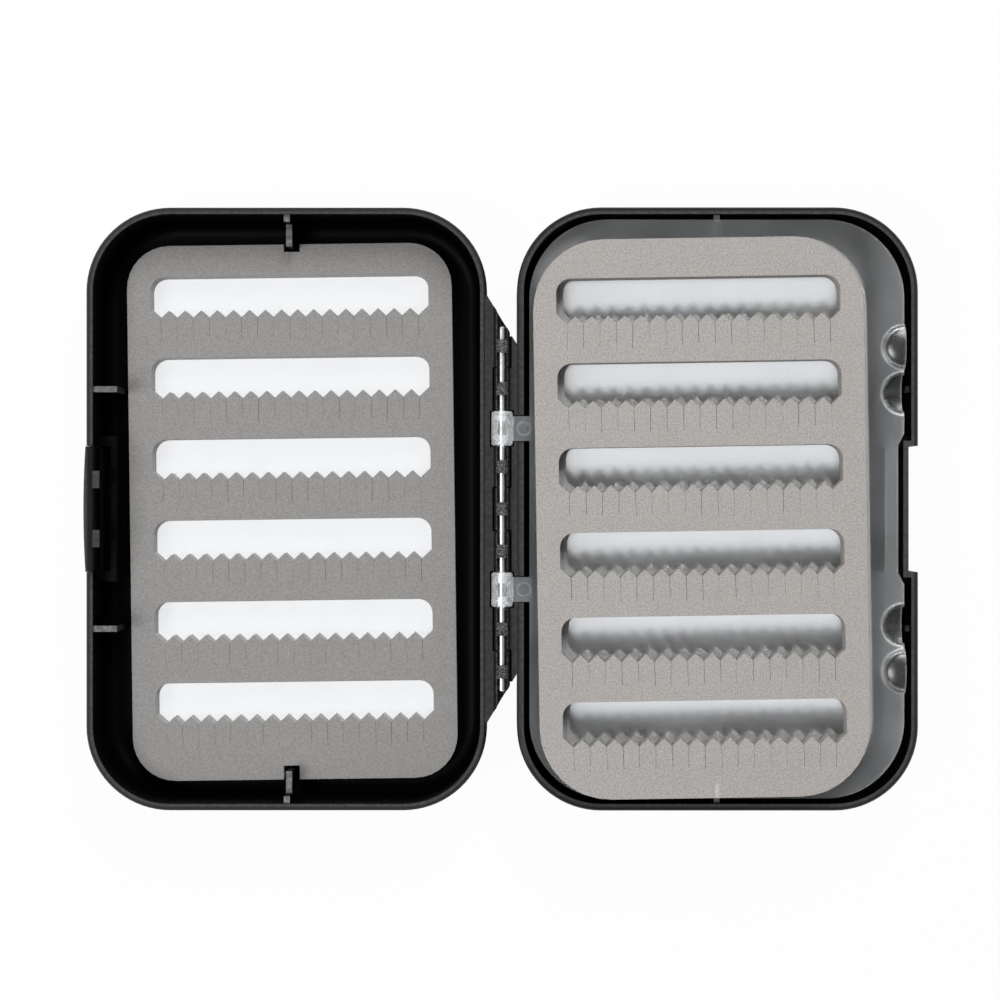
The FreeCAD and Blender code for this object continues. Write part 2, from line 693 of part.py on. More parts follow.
def bowed(body, name, level):
    """A level sketch of the latch's grip, straight inside and bowed along its outer side."""
    corners = [("latch_end", "latch_half"), ("latch_inner", "latch_half"),
               ("latch_inner", "-latch_half"), ("latch_end", "-latch_half")]
    sketch = new_sketch(body, name, "XY_Plane", level)
    places = [Vector(size(across), size(up), 0) for across, up in corners]
    for start, end in zip(places, places[1:]):
        sketch.addGeometry(Part.LineSegment(start, end), False)
    middle = Vector(size("wall_far"), 0, 0)
    sketch.addGeometry(Part.Arc(places[3], middle, places[0]), False)
    for line, following in ((0, 1), (1, 2), (2, 3), (3, 0)):
        sketch.addConstraint(Sketcher.Constraint("Coincident", line, 2, following, 1))
    limits = [(Sketcher.Constraint("Radius", 3, size("latch_bow_radius")), "latch_bow_radius")]
    for line, (across, up) in enumerate(corners):
        for kind, alias in (("DistanceX", across), ("DistanceY", up)):
            limits.append((Sketcher.Constraint(kind, -1, 1, line, 1, size(alias)), alias))
    for limit, alias in limits:
        bind(sketch, f"Constraints[{sketch.addConstraint(limit)}]", alias)
    return sketch


def latch():
    """The snap latch, standing up from its stubs in the lid's front wall."""
    body = new_body("latch")
    block(body, "Additive", "flap", ("latch_inner", "latch_outer"), ("0 - latch_half", "latch_half"),
          ("latch_pivot_height", "latch_lip_low"))
    raised(body, "grip", bowed(body, "grip_line", "latch_lip_low"), "latch_lip")
    rod(body, "Additive", "latch_barrel_rod", "latch_barrel", "latch_pivot",
        ("0 - latch_half", "latch_half"), "latch_pivot_height")
    stub_end = "latch_half + stub_length"
    rod(body, "Additive", "latch_stubs", "stub_radius", "latch_pivot",
        (f"0 - ({stub_end})", stub_end), "latch_pivot_height")
    hook = [("hook_root", "hook_low"), ("hook_tip", "hook_low"), ("hook_tip", "hook_nose_top"),
            ("hook_root", "hook_root_top")]
    for side, sign in (("high", "+"), ("low", "-")):
        shape = outline(body, f"hook_line_{side}", "XZ_Plane", [hook], f"0 {sign} hook_offset")
        raised(body, f"hook_{side}", shape, "hook_length", symmetric=True)
    body.Placement = HALF_TURN
    return body


def rounded_wire(half_width, half_long, radius, notches=None):
    """A rounded rectangle, with a notch of (middle, width, depth) in each end."""
    edges = []
    corners = [(1, 1), (-1, 1), (-1, -1), (1, -1)]
    ends = []
    for across, up in corners:
        centre = Vector(across * (half_width - radius), up * (half_long - radius), 0)
        side = centre + Vector(across * radius, 0, 0)
        end = centre + Vector(0, up * radius, 0)
        middle = centre + Vector(across, up, 0).normalize() * radius
        first, last = (side, end) if across * up > 0 else (end, side)
        edges.append(Part.Arc(first, middle, last).toShape())
        ends.append((first, last))
    for index, (first, last) in enumerate(ends):
        following = ends[(index + 1) % len(ends)][0]
        points = [last, following]
        if notches and near(last.y, following.y):
            end = 1 if last.y > 0 else -1
            middle, width, depth = notches[end]
            first_side = middle + end * width / 2
            other_side = middle - end * width / 2
            inner = last.y - end * depth
            points[1:1] = [Vector(first_side, last.y, 0), Vector(first_side, inner, 0),
                           Vector(other_side, inner, 0), Vector(other_side, last.y, 0)]
        edges.extend(Part.makePolygon(points).Edges)
    return Part.Wire(Part.__sortEdges__(edges))


def slot_wire(cut, top):
    """One slot: round upper corners, and a toothed lower edge with a slit from each valley."""
    half = size(f"{cut}_slot_width") / 2
    corner = size("slot_corner")
    tips = top - size(f"{cut}_slot_height")
    valleys = tips - size("tooth_height")
    count = int(size("tooth_count"))
    pitch = (2 * half - 2 * size("slot_end_margin")) / count
    slope = size("tooth_height") / (pitch / 2)
    side_low = valleys + size("slot_end_margin") * slope
    edges = []
    lower = [Vector(-half, side_low, 0)]
    for number in range(count + 1):
        x = -half + size("slot_end_margin") + number * pitch
        mouth = size("slit_mouth") / 2
        lower.append(Vector(x - mouth, valleys + mouth * slope, 0))
        lower.append(Vector(x, valleys - size("slit_length"), 0))
        lower.append(Vector(x + mouth, valleys + mouth * slope, 0))
        if number < count:
            lower.append(Vector(x + pitch / 2, tips, 0))
    lower.append(Vector(half, side_low, 0))
    lower.append(Vector(half, top - corner, 0))
    edges.extend(Part.makePolygon(lower).Edges)
    turn = Vector(1, 1, 0).normalize() * corner
    right = Vector(half - corner, top - corner, 0)
    left = Vector(-half + corner, top - corner, 0)
    back = Vector(-turn.x, turn.y, 0)
    sideways = Vector(corner, 0, 0)
    upward = Vector(0, corner, 0)
    edges.append(Part.Arc(right + sideways, right + turn, right + upward).toShape())
    edges.append(Part.makeLine(right + upward, left + upward))
    edges.append(Part.Arc(left + upward, left + back, left - sideways).toShape())
    edges.append(Part.makeLine(left - sideways, lower[0]))
    return Part.Wire(Part.__sortEdges__(edges))


def relief_wire(cut, top):
    """The plain window in a film round one slot, drawn in below round the slits."""
    margin = size("tape_relief")
    half = size(f"{cut}_slot_width") / 2 + margin
    slit_half = half - size("slot_end_margin")
    high = top + margin
    valleys = top - size(f"{cut}_slot_height") - size("tooth_height")
    low = valleys - size("slit_length") - margin
    corners = [Vector(half, high, 0), Vector(half, valleys, 0), Vector(slit_half, low, 0),
               Vector(-slit_half, low, 0), Vector(-half, valleys, 0), Vector(-half, high, 0)]
    return Part.makePolygon(corners + corners[:1])


def sheet_solid(label, outer, holes, thickness, placement):
    """A flat sheet with holes, set down at its place."""
    face = Part.Face([outer] + holes, "Part::FaceMakerBullseye")
    piece = doc.addObject("Part::Feature", label)
    piece.Label = label
    piece.Shape = face.extrude(Vector(0, 0, thickness))
    piece.Placement = placement


def foam_and_tape(label, cut, level, over=False, notched=False):
    """A slit foam sheet on its film, which lies at one level on a tray or on the leaf."""
    half_width = size(f"{cut}_foam_width") / 2
    half_long = size(f"{cut}_foam_length") / 2
    radius = size(f"{cut}_foam_radius")
    film = size("tape_thickness")
    margin = size("tape_margin")
    side = -1 if label == "lid" else 1
    offset = size(f"{label}_offset")
    where = Vector(side * size("tray_middle") + size(f"{label}_shift"), offset, size(level))
    turn = Rotation(Vector(0, 0, 1), size(f"{label}_turn"))
    if over:
        turn = Rotation(Vector(0, 1, 0), 180).multiply(turn)
    notches = {}
    film_notches = {}
    for end in (1, -1) if notched else ():
        rib = Vector(side * size("tray_middle"), end * size("end_rib_tip"), size(level)) - where
        rib = turn.inverted().multVec(rib)
        depth = half_long - end * rib.y + size("notch_clearance")
        notches[end] = (rib.x, size("notch_width"), depth)
        film_notches[end] = (rib.x, size("notch_width") + margin, depth)
    tops = [half_long - size(f"{cut}_first_slot") - number * size(f"{cut}_slot_pitch")
            for number in range(int(size("slot_count")))]
    film_outer = rounded_wire(half_width - margin, half_long - margin, radius - margin, film_notches)
    sheet_solid(f"{label}_tape", film_outer, [relief_wire(cut, top) for top in tops], film,
                Placement(where, turn))
    foam_outer = rounded_wire(half_width, half_long, radius, notches)
    lift = turn.multVec(Vector(0, 0, film))
    sheet_solid(f"{label}_foam", foam_outer, [slot_wire(cut, top) for top in tops],
                size("foam_thickness"), Placement(where + lift, turn))


def foams():
    """Foam in both trays, and on both faces of the leaf."""
    foam_and_tape("base", "shell", "wall", notched=True)
    foam_and_tape("lid", "shell", "wall", notched=True)
    foam_and_tape("leaf_front", "leaf", "leaf_top")
    foam_and_tape("leaf_back", "leaf", "leaf_low", over=True)


def write_parts():
    """Test every object, then write one file a piece."""
    doc.recompute()
    for thing in doc.Objects:
        if "Invalid" in thing.State or "Error" in thing.State:
            raise RuntimeError(f"{thing.Name} failed: {thing.State}")
    kinds = ("PartDesign::Body", "Part::Feature")
    pieces = [thing for thing in doc.Objects if thing.TypeId in kinds]
    for piece in pieces:
        shape = piece.Shape
        if shape.isNull() or not shape.isValid() or len(shape.Solids) != 1:
            raise RuntimeError(f"{piece.Label} is not one valid solid")
    os.makedirs("parts", exist_ok=True)
    for piece in pieces:
        piece.Shape.exportStep(f"parts/{piece.Label}.step")


fill_sheet()
base_shell()
lid_shell()
pane("base_window", turned=False)
pane("lid_window", turned=True)
hinge_pin()
leaf_plate()
latch()
foams()
write_parts()
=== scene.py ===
"""Looks for the fly box: foam sheets, finishes, floor, light and camera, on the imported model."""
import math
import random
from dataclasses import dataclass
import bpy
from mathutils import Matrix, Vector


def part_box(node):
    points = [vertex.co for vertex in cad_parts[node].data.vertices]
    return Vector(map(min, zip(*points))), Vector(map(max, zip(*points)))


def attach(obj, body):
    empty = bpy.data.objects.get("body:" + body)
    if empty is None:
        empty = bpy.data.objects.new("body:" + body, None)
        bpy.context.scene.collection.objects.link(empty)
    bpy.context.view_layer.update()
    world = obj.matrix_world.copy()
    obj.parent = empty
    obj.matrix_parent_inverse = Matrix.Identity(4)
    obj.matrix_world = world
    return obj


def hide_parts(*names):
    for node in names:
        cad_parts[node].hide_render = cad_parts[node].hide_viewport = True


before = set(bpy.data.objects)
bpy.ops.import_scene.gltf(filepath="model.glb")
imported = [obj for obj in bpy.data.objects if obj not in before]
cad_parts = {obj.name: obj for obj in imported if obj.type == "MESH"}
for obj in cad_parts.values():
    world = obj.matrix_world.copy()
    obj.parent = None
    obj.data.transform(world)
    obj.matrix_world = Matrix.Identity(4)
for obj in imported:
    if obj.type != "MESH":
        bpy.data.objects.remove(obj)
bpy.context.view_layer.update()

MM = 0.001

# Camera, in millimetres.
CAMERA_PLACE = (-0.5, 2.25, 460.0)
CAMERA_LENS = 63.65
CAMERA_SENSOR = 36.0
CAMERA_NEAR = 10.0

# The strength of the surround on the box. The camera sees it at full strength.
SURROUND = 0.285

# Floor: its size in millimetres, its grey, and how far the camera sees plain white instead.
FLOOR_REACH = 4000.0
FLOOR_LEVEL = -0.3
FLOOR_GREY = 0.86
FLOOR_WHITE = 0.96

# Foam sheets, in millimetres and degrees.
RIB_TIP = 66.45
RIB_NOTCH_WIDTH = 4.1
RIB_NOTCH_CLEARANCE = 0.6
SLOT_COUNT = 6
SLOT_CORNER = 3.6
SLOT_END_MARGIN = 2.6
TOOTH_COUNT = 16
TOOTH_HEIGHT = 1.9
SLIT_LENGTH = 6.0
SLIT_LENGTH_SHARES = (0.85, 1.0)
SLIT_WIDTHS = (0.01, 0.09)
SLIT_LEAN = 0.15
EDGE_ROUND = 0.09
SHARP_ANGLE = 40.0
DENT_PLACE = (53.1, -66.5)
DENT_HALF = 0.6
DENT_REACH = 2.0

# How far the cells of foam go from its colour, at a contrast of 1.
CELLS_DARKER = 0.2
CELLS_PALER = 0.17

# Trays, in millimetres from the hinge, from their middle or from the table.
TRAY_MIDDLE = 53.9
SHELL_HALF_WIDTH = 50.15
SHELL_HALF_LENGTH = 75.45
SHELL_CORNER = 21.0
HINGE_REACH = 6.5
STRAP_REACH = 1.55
STRAP_HEIGHT = 19.4
RIB_HEIGHT = 8.75
RIM_HEIGHT = 17.65
RIM_LINE_INSET = 0.65
RIM_LIP_INSET = 0.95
LATCH_ROOM_REACH = 90.0
LATCH_ROOM_HALF = 25.0
GRIP_REACH = 101.9
GRIP_EDGE_REACH = 103.3
GRIP_HALF = 15.7

# Leaf, in millimetres from the hinge, from its middle or from the table.
CLIP_REACH = 2.8
CLIP_OFFSET = 20.125
TAB_REACH = 7.5
TAB_HALF = 3.1
MARK_REACH = 5.5
MARK_RADIUS = 1.65
LEAF_EDGE = 100.55
# How wide the painted highlight along the leaf's free edge is.
LEAF_RIM = 0.35
LEAF_UNDERSIDE = 16.6
# The radius of the painted highlight ring round each dome, then of each dome's polish.
DOME_GLINT_RADIUS = 5.6
DOME_POLISH_RADIUS = 5.3
DOME_OFFSETS = (40.5, 29.0)
# Painted light on a strip between the domes and on the rest of the leaf's free side: where they start
# and how far the strip runs.
STRIP_REACH = 96.0
STRIP_HALF = 15.6
LIT_SIDE_REACH = 95.0
DIM_END_OFFSET = 62.0

# How far a soft line keeps its full tone, in millimetres from its middle.
LINE_CORE = 0.1

# Colours, with alpha where they go straight into a finish.
# Painted shade: the insides of the trays are a darker copy of the outside black.
SHADED_BLACK_INSIDE = (0.001, 0.001, 0.0011, 1)
BLACK_OUTSIDE = (0.009, 0.009, 0.0094, 1)
# Painted light on everything above the rim height.
LIT_BLACK_RIM = (0.014, 0.014, 0.0145, 1)
# Painted light on the up-facing rib tops.
LIT_RIB_TOP = (0.26, 0.26, 0.265, 1)
# Painted highlight on the hinge strap tops, in a grit pattern.
STRAP_HIGHLIGHT = (0.2, 0.2, 0.195, 1)
GREY_FOAM = (0.325, 0.317, 0.31)
PALE_FOAM = (0.445, 0.423, 0.405)
LEAF_CLEAR = (0.97, 0.982, 0.995, 1)
LEAF_MILK = ((0.8, 0.82, 0.84, 1), (0.95, 0.96, 0.97, 1))
LEAF_SHADE = (0.84, 0.86, 0.87, 1)
PANE_CLEAR = (0.982, 0.989, 1.0, 1)
PANE_MILK = (0.86, 0.88, 0.92, 1)
PANE_SHADE = (0.92, 0.93, 0.93, 1)
FILM = ((0.62, 0.61, 0.58, 1), (0.8, 0.79, 0.76, 1))
BRIGHT_STEEL = (0.93, 0.93, 0.92, 1)
DULL_STEEL = (0.72, 0.71, 0.7, 1)

# Plain greys, from 0 to 1.
# Painted light on the rim tops: the outer chamfer in painted shade, the flat inside it lighter.
RIM_CHAMFER_SHADE = 0.054
RIM_TOP_LIGHT = 0.076
# A painted shade line along the rim.
RIM_SHADE_LINE = 0.022
# Painted light on the latch's outer lip, and painted shade inside it.
GRIP_LIT_LIP = 0.09
GRIP_SHADE = 0.012
# Painted light on the foam's cut walls.
LIT_CUT_WALL = 0.56
DENT = 0.8

CLEAR_PLASTIC_IOR = 1.49


@dataclass
class Cut:
    """One die-cut pattern of foam sheet, in millimetres."""

    width: float
    length: float
    radius: float
    slot_width: float
    slot_height: float
    first_slot: float
    last_slot: float

    def tops(self):
        """Where the slots' upper edges lie along the sheet."""
        run = self.length - self.first_slot - self.last_slot
        start = self.length / 2 - self.first_slot
        return [start - run * number / (SLOT_COUNT - 1) for number in range(SLOT_COUNT)]


TRAY_CUT = Cut(width=83.25, length=137.15, radius=11.0, slot_width=71.2, slot_height=8.6,
               first_slot=8.0, last_slot=25.0)
LEAF_CUT = Cut(width=81.7, length=138.5, radius=17.5, slot_width=70.2, slot_height=9.3,
               first_slot=9.6, last_slot=24.15)


class Wire:
    """One output of a node. Sums and products of wires add the nodes that work them out."""

    def __init__(self, finish, socket):
        self.finish = finish
        self.socket = socket

    def work_out(self, operation, first, second):
        return self.finish.node("ShaderNodeMath", {"operation": operation}, {0: first, 1: second})

    def __add__(self, other):
        return self.work_out("ADD", self, other)

    __radd__ = __add__

    def __sub__(self, other):
        return self.work_out("SUBTRACT", self, other)

    def __rsub__(self, other):
        return self.work_out("SUBTRACT", other, self)

    def __mul__(self, other):
        return self.work_out("MULTIPLY", self, other)

    __rmul__ = __mul__

    def __gt__(self, other):
        return self.work_out("GREATER_THAN", self, other)

    def __lt__(self, other):
        return self.work_out("LESS_THAN", self, other)

    def __abs__(self):
        return self.work_out("ABSOLUTE", self, 0.0)

    def above_zero(self):
        """The value itself, or 0 where it is below."""
        return self.work_out("MAXIMUM", self, 0.0)


class Finish:
    """A material, or the world, made node by node. Its lengths are in millimetres."""

    def __init__(self, owner):
        owner.use_nodes = True
        self.owner = owner
        self.tree = owner.node_tree

    def node(self, kind, settings=None, inputs=None, output=0):
        """A new node with its settings made and its sockets fed, as the wire of one output."""
        made = self.tree.nodes.new(kind)
        for name, value in (settings or {}).items():
            setattr(made, name, value)
        for name, value in (inputs or {}).items():
            self.feed(made.inputs[name], value)
        return Wire(self, made.outputs[output])

    def feed(self, socket, value):
        if isinstance(value, Wire):
            self.tree.links.new(value.socket, socket)
        else:
            socket.default_value = value

    def surface(self, **inputs):
        """Feed the Principled shader, by its socket names with _ for spaces, and give its output."""
        shader = self.tree.nodes["Principled BSDF"]
        for name, value in inputs.items():
            self.feed(shader.inputs[name.replace("_", " ")], value)
        return Wire(self, shader.outputs[0])

    def mix(self, share, first, second):
        """A shader between two, by a share from 0 to 1."""
        return self.node("ShaderNodeMixShader", inputs={0: share, 1: first, 2: second})

    def end(self, shader):
        """Show a shader in place of the plain Principled one."""
        self.feed(self.tree.nodes["Material Output"].inputs["Surface"], shader)

    def end_in_glass(self, shader, shade):
        """Show a shader that light from the lamps passes straight through."""
        lamp_ray = self.node("ShaderNodeLightPath", output="Is Shadow Ray")
        passed = self.node("ShaderNodeBsdfTransparent", inputs={"Color": shade})
        self.end(self.mix(lamp_ray, shader, passed))

    def coordinates(self):
        return self.node("ShaderNodeTexCoord", output="Object")

    def axes(self, vector):
        """The X, Y and Z of a vector."""
        split = self.node("ShaderNodeSeparateXYZ", inputs={0: vector})
        return [Wire(self, output) for output in split.socket.node.outputs]

    def place(self):
        """The X, Y and Z of a point on the piece."""
        return [axis * (1 / MM) for axis in self.axes(self.coordinates())]

    def facing(self):
        """How squarely a face looks along X, Y and Z, from -1 to 1."""
        return self.axes(self.node("ShaderNodeTexCoord", output="Normal"))

    def facing_up(self):
        """1 on level faces that look up, 0 on walls."""
        return self.between(self.facing()[2], 0.8, 0.97)

    def facing_out(self, x, y):
        """1 on the outside of the trays, on walls that look away from their middle or down."""
        across, along, up = self.facing()
        middle = ((x > 0.0) * 2.0 - 1.0) * TRAY_MIDDLE
        wall = self.between(across * (x - middle) + along * y, 4.0, 20.0)
        underside = self.between(up, -0.3, -0.7)
        return wall + underside * (1 - wall)

    def noise(self, grain, detail=2.0, stretch=(1.0, 1.0, 1.0)):
        """Noise from 0 to 1 with grains of one size, stretched along the axes."""
        where = self.node("ShaderNodeMapping", inputs={"Vector": self.coordinates(), "Scale": stretch})
        inputs = {"Vector": where, "Scale": 1 / (grain * MM), "Detail": detail}
        return self.node("ShaderNodeTexNoise", {"noise_dimensions": "3D"}, inputs)

    def patches(self, grain, low, high, **noise):
        """Noise that is 0 up to one level and 1 from another."""
        return self.between(self.noise(grain, **noise), low, high)

    def blend(self, mask, first, second):
        """A colour between two, by a mask from 0 to 1."""
        inputs = {0: mask, 6: first, 7: second}
        return self.node("ShaderNodeMix", {"data_type": "RGBA"}, inputs, output=2)

    def between(self, value, low, high):
        """A value stretched so that low becomes 0 and high becomes 1, held there beyond."""
        settings = {"clamp": True, "interpolation_type": "SMOOTHSTEP"}
        inputs = {"Value": value, "From Min": low, "From Max": high}
        return self.node("ShaderNodeMapRange", settings, inputs)

    def past(self, value, mark, fade):
        """0 below a mark and 1 above it, with a soft step at the mark."""
        return self.between(value, mark - fade, mark + fade)

    def short_of(self, value, mark, fade):
        """1 below a mark and 0 above it, with a soft step at the mark."""
        return self.between(value, mark + fade, mark - fade)

    def line(self, value, mark, reach):
        """1 on a thin line at a mark, fading out on both sides."""
        return self.between(abs(value - mark), reach, LINE_CORE)

    def distance(self, across, along):
        """The length of a level line, from how far it runs across and along."""
        run = self.node("ShaderNodeCombineXYZ", inputs={0: across, 1: along})
        return self.node("ShaderNodeVectorMath", {"operation": "LENGTH"}, {0: run}, output="Value")

    def ring(self, x, y, reach, offset):
        """The distance of a point from a place on both halves of the leaf."""
        return self.distance(x - reach, abs(y) - offset)

    def inset(self, x, y):
        """How far a point on a rim lies inside the tray's outer edge."""
        across = abs(abs(x) - TRAY_MIDDLE) - (SHELL_HALF_WIDTH - SHELL_CORNER)
        along = abs(y) - (SHELL_HALF_LENGTH - SHELL_CORNER)
        return SHELL_CORNER - self.distance(across.above_zero(), along.above_zero())

    def bump(self, height, depth, strength):
        inputs = {"Height": height, "Distance": depth * MM, "Strength": strength}
        return self.node("ShaderNodeBump", inputs=inputs)


def new_finish(name):
    return Finish(bpy.data.materials.new(name))


def grey(value):
    return (value, value, value, 1.0)


def black_moulding():
    """Black moulded plastic: dull inside, satin outside, with painted shade inside the trays and painted
    light on the rims, rib tops and strap tops.
    """
    finish = new_finish("black_moulding")
    x, y, z = finish.place()
    up = finish.facing_up()
    outside = finish.facing_out(x, y)
    grain = finish.noise(0.25)
    cloud = finish.noise(14, detail=4.0)
    # Patches that vary the painted light on the rims and rib tops.
    patchy_light = finish.patches(1.2, 0.35, 0.7, detail=5.0)
    grit = finish.patches(0.35, 0.42, 0.66)
    rim = finish.past(z, RIM_HEIGHT, 0.15)
    clear_of_hinge = finish.past(abs(x), HINGE_REACH, 0.5)
    # Painted shade: the rib light is held back by the latch and the base's notch, and mostly along the
    # rest of the base's far side.
    latch_room = (abs(x) > LATCH_ROOM_REACH) * (abs(y) < LATCH_ROOM_HALF)
    shaded = (x > LATCH_ROOM_REACH) * (abs(y) > LATCH_ROOM_HALF) * 0.85
    # Painted light on the up-facing rib tops, in patches.
    rib = up * finish.past(z, RIB_HEIGHT, 0.75) * (1 - rim) * clear_of_hinge * (1 - latch_room - shaded)
    strap = finish.short_of(abs(x), STRAP_REACH, 0.15) * finish.past(z, STRAP_HEIGHT, 0.3)
    grip = (abs(y) < GRIP_HALF) * (x < -GRIP_REACH)
    inset = finish.inset(x, y)
    # A painted shade line along the rim, which also has almost no coat.
    rim_shade_line = clear_of_hinge * rim * (1 - grip) * finish.line(inset, RIM_LINE_INSET, 0.35)
    # Painted light on the rim tops, with painted shade on their outer chamfer.
    rim_light_and_shade = finish.blend(finish.past(inset, RIM_LIP_INSET, 0.15), grey(RIM_CHAMFER_SHADE), grey(RIM_TOP_LIGHT))
    # Painted light on the latch's outer lip, and painted shade inside it.
    grip_light_and_shade = finish.blend(finish.past(x, -GRIP_EDGE_REACH, 0.6), grey(GRIP_LIT_LIP), grey(GRIP_SHADE))
    top = finish.blend(grip, rim_light_and_shade, grip_light_and_shade)
    # Painted shade: the insides of the trays are darker than the same plastic outside.
    colour = finish.blend(outside, SHADED_BLACK_INSIDE, BLACK_OUTSIDE)
    # Painted light on everything above the rim height.
    colour = finish.blend(rim, colour, LIT_BLACK_RIM)
    # Painted light on the up-facing rim tops, in patches.
    colour = finish.blend(up * rim * (0.62 + patchy_light * 0.38), colour, top)
    # Painted shade line along the rim.
    colour = finish.blend(rim_shade_line, colour, grey(RIM_SHADE_LINE))
    # Painted light on the rib tops.
    colour = finish.blend(rib * (0.5 + patchy_light * 0.5), colour, LIT_RIB_TOP)
    # Painted highlight on the strap tops, in a grit pattern.
    colour = finish.blend(strap * grit, colour, STRAP_HIGHLIGHT)
    finish.surface(Base_Color=colour, Roughness=0.42 + cloud * 0.1 + rib * 0.2 + strap * 0.2,
                   Specular_IOR_Level=0.06, Coat_Roughness=0.32,
                   Coat_Weight=outside * (0.5 + cloud * 0.2) * (1 - rim_shade_line * 0.95),
                   Normal=finish.bump(grain + strap * grit * 3.0, 0.02, 0.6))
    return finish.owner


def slit_foam(name, colour, contrast, lit_cut_wall=None, dent=None):
    """Closed-cell foam: pale and dark cells, a skin that is never quite even, and painted light that
    makes the cut walls paler.
    """
    finish = new_finish(name)
    cells = finish.noise(0.42, detail=3.0)
    pores = finish.noise(0.2, detail=1.0)
    cloud = finish.noise(9, detail=3.0)
    speckle = finish.between(cells * 0.6 + pores * 0.4, 0.3, 0.7)
    dark = tuple(part * (1 - CELLS_DARKER * contrast) for part in colour)
    pale = tuple(part * (1 + CELLS_PALER * contrast) for part in colour)
    tone = finish.blend(speckle * 0.86 + cloud * 0.14, (*dark, 1), (*pale, 1))
    # Painted light: the cut walls paler than the top, where a grey for them is given.
    if lit_cut_wall:
        level = abs(finish.facing()[2])
        tone = finish.blend(finish.between(level, 0.5, 0.1), tone, grey(lit_cut_wall))
    height = cells + pores * 0.6
    if dent:
        x, y = finish.place()[:2]
        across = finish.short_of(abs(x - dent[0]), DENT_HALF, 0.3)
        pressed = across * finish.between(y, dent[1], dent[1] - DENT_REACH)
        tone = finish.blend(pressed * 0.3, tone, grey(DENT))
        height = height - pressed * 3.0
    finish.surface(Base_Color=tone, Roughness=0.93, Specular_IOR_Level=0.2,
                   Normal=finish.bump(height, 0.09, 0.55))
    return finish.owner


def leaf_haze_and_light(finish, x, y, cloud):
    """How milky the flat of the leaf is: cloudy and dusty, dimmer at one end, with painted light on its
    free side and on a strip between the domes, edged by a painted highlight line.
    """
    dust = finish.patches(0.4, 0.45, 0.75, detail=3.0)
    bay = finish.short_of(abs(y), STRIP_HALF, 0.5)
    # Painted light on a strip between the domes, with a painted highlight line at its edge.
    lit_strip = bay * finish.past(x, STRIP_REACH, 0.2)
    strip_edge_glint = bay * finish.line(x, STRIP_REACH, 0.4)
    # Painted light on the rest of the free side.
    lit_side = (1 - bay) * finish.past(x, LIT_SIDE_REACH, 7.0)
    dim_end = finish.past(y, DIM_END_OFFSET, 2.0)
    haze = 0.006 + finish.between(cloud, 0.35, 0.65) * 0.035 + dust * 0.045
    return haze * (1 - dim_end * 0.45) + lit_strip * 0.058 + strip_edge_glint * 0.035 + lit_side * 0.072


def frosted_leaf():
    """Clear plastic, frosted below and milky at the hinge, with polished domes, specks and scratches,
    and painted highlights round the domes and along the free edge.
    """
    finish = new_finish("frosted_leaf")
    x, y, z = finish.place()
    frost = finish.noise(0.12)
    cloud = finish.noise(20, detail=3.0)
    streaks = finish.patches(1.1, 0.3, 0.7, detail=4.0)
    specks = finish.patches(0.7, 0.74, 0.78, detail=1.0)
    scratches = finish.patches(0.5, 0.7, 0.76, detail=1.0, stretch=(0.06, 1.0, 1.0))
    domes = [finish.ring(x, y, LEAF_EDGE, offset) for offset in DOME_OFFSETS]
    polished = sum(finish.short_of(dome, DOME_POLISH_RADIUS, 0.2) for dome in domes)
    # Painted highlight: a bright ring round each dome.
    dome_ring_glint = sum(finish.line(dome, DOME_GLINT_RADIUS, 0.3) for dome in domes)
    frosted = (z < LEAF_UNDERSIDE) * (1 - polished)
    worn = specks * 0.3 + scratches * 0.15
    clear = finish.surface(Base_Color=finish.blend(specks * 0.5, LEAF_CLEAR, grey(1.0)),
                           Roughness=0.04 + frosted * 0.42 + polished * 0.2 + cloud * 0.04 + worn,
                           IOR=CLEAR_PLASTIC_IOR, Transmission_Weight=1.0,
                           Normal=finish.bump(frost * frosted, 0.02, 0.4))
    tone = finish.blend(streaks, *LEAF_MILK)
    milk = finish.node("ShaderNodeBsdfPrincipled", inputs={"Base Color": tone, "Roughness": 0.3})
    clip = finish.short_of(abs(x), CLIP_REACH, 0.25)
    tab = (x < TAB_REACH) * finish.short_of(abs(abs(y) - CLIP_OFFSET), TAB_HALF, 0.1)
    mark_edge = finish.line(finish.ring(x, y, MARK_REACH, CLIP_OFFSET), MARK_RADIUS, 0.25)
    # Painted highlight along the leaf's free edge.
    rim = finish.past(x, LEAF_EDGE - LEAF_RIM, 0.15)
    haze = leaf_haze_and_light(finish, x, y, cloud)
    # Specks, tabs and mark edges, with the painted highlight rings round the domes.
    marks_and_glints = specks * 0.12 + tab * 0.03 + mark_edge * 0.08 + dome_ring_glint * 0.16
    # The milky share holds the real haze and marks, the painted light from the haze, and the painted
    # highlight along the edge.
    share = (haze + marks_and_glints) * (1 - polished * 0.9) + rim * 0.03 + clip * (0.09 + streaks * 0.38)
    finish.end_in_glass(finish.mix(share, clear, milk), LEAF_SHADE)
    return finish.owner


def clear_pane():
    """A clear, slightly milky sheet with faint waves and a few hairline scratches."""
    finish = new_finish("clear_pane")
    waves = finish.noise(18)
    hairs = finish.patches(0.4, 0.72, 0.77, detail=1.0, stretch=(1.0, 0.05, 1.0))
    clear = finish.surface(Base_Color=finish.blend(hairs * 0.3, PANE_CLEAR, grey(1.0)),
                           Roughness=0.02 + hairs * 0.2,
                           IOR=CLEAR_PLASTIC_IOR, Transmission_Weight=1.0,
                           Normal=finish.bump(waves, 0.05, 0.3))
    milk = finish.node("ShaderNodeBsdfPrincipled", inputs={"Base Color": PANE_MILK, "Roughness": 0.4})
    finish.end_in_glass(finish.mix(0.04 + waves * 0.06, clear, milk), PANE_SHADE)
    return finish.owner


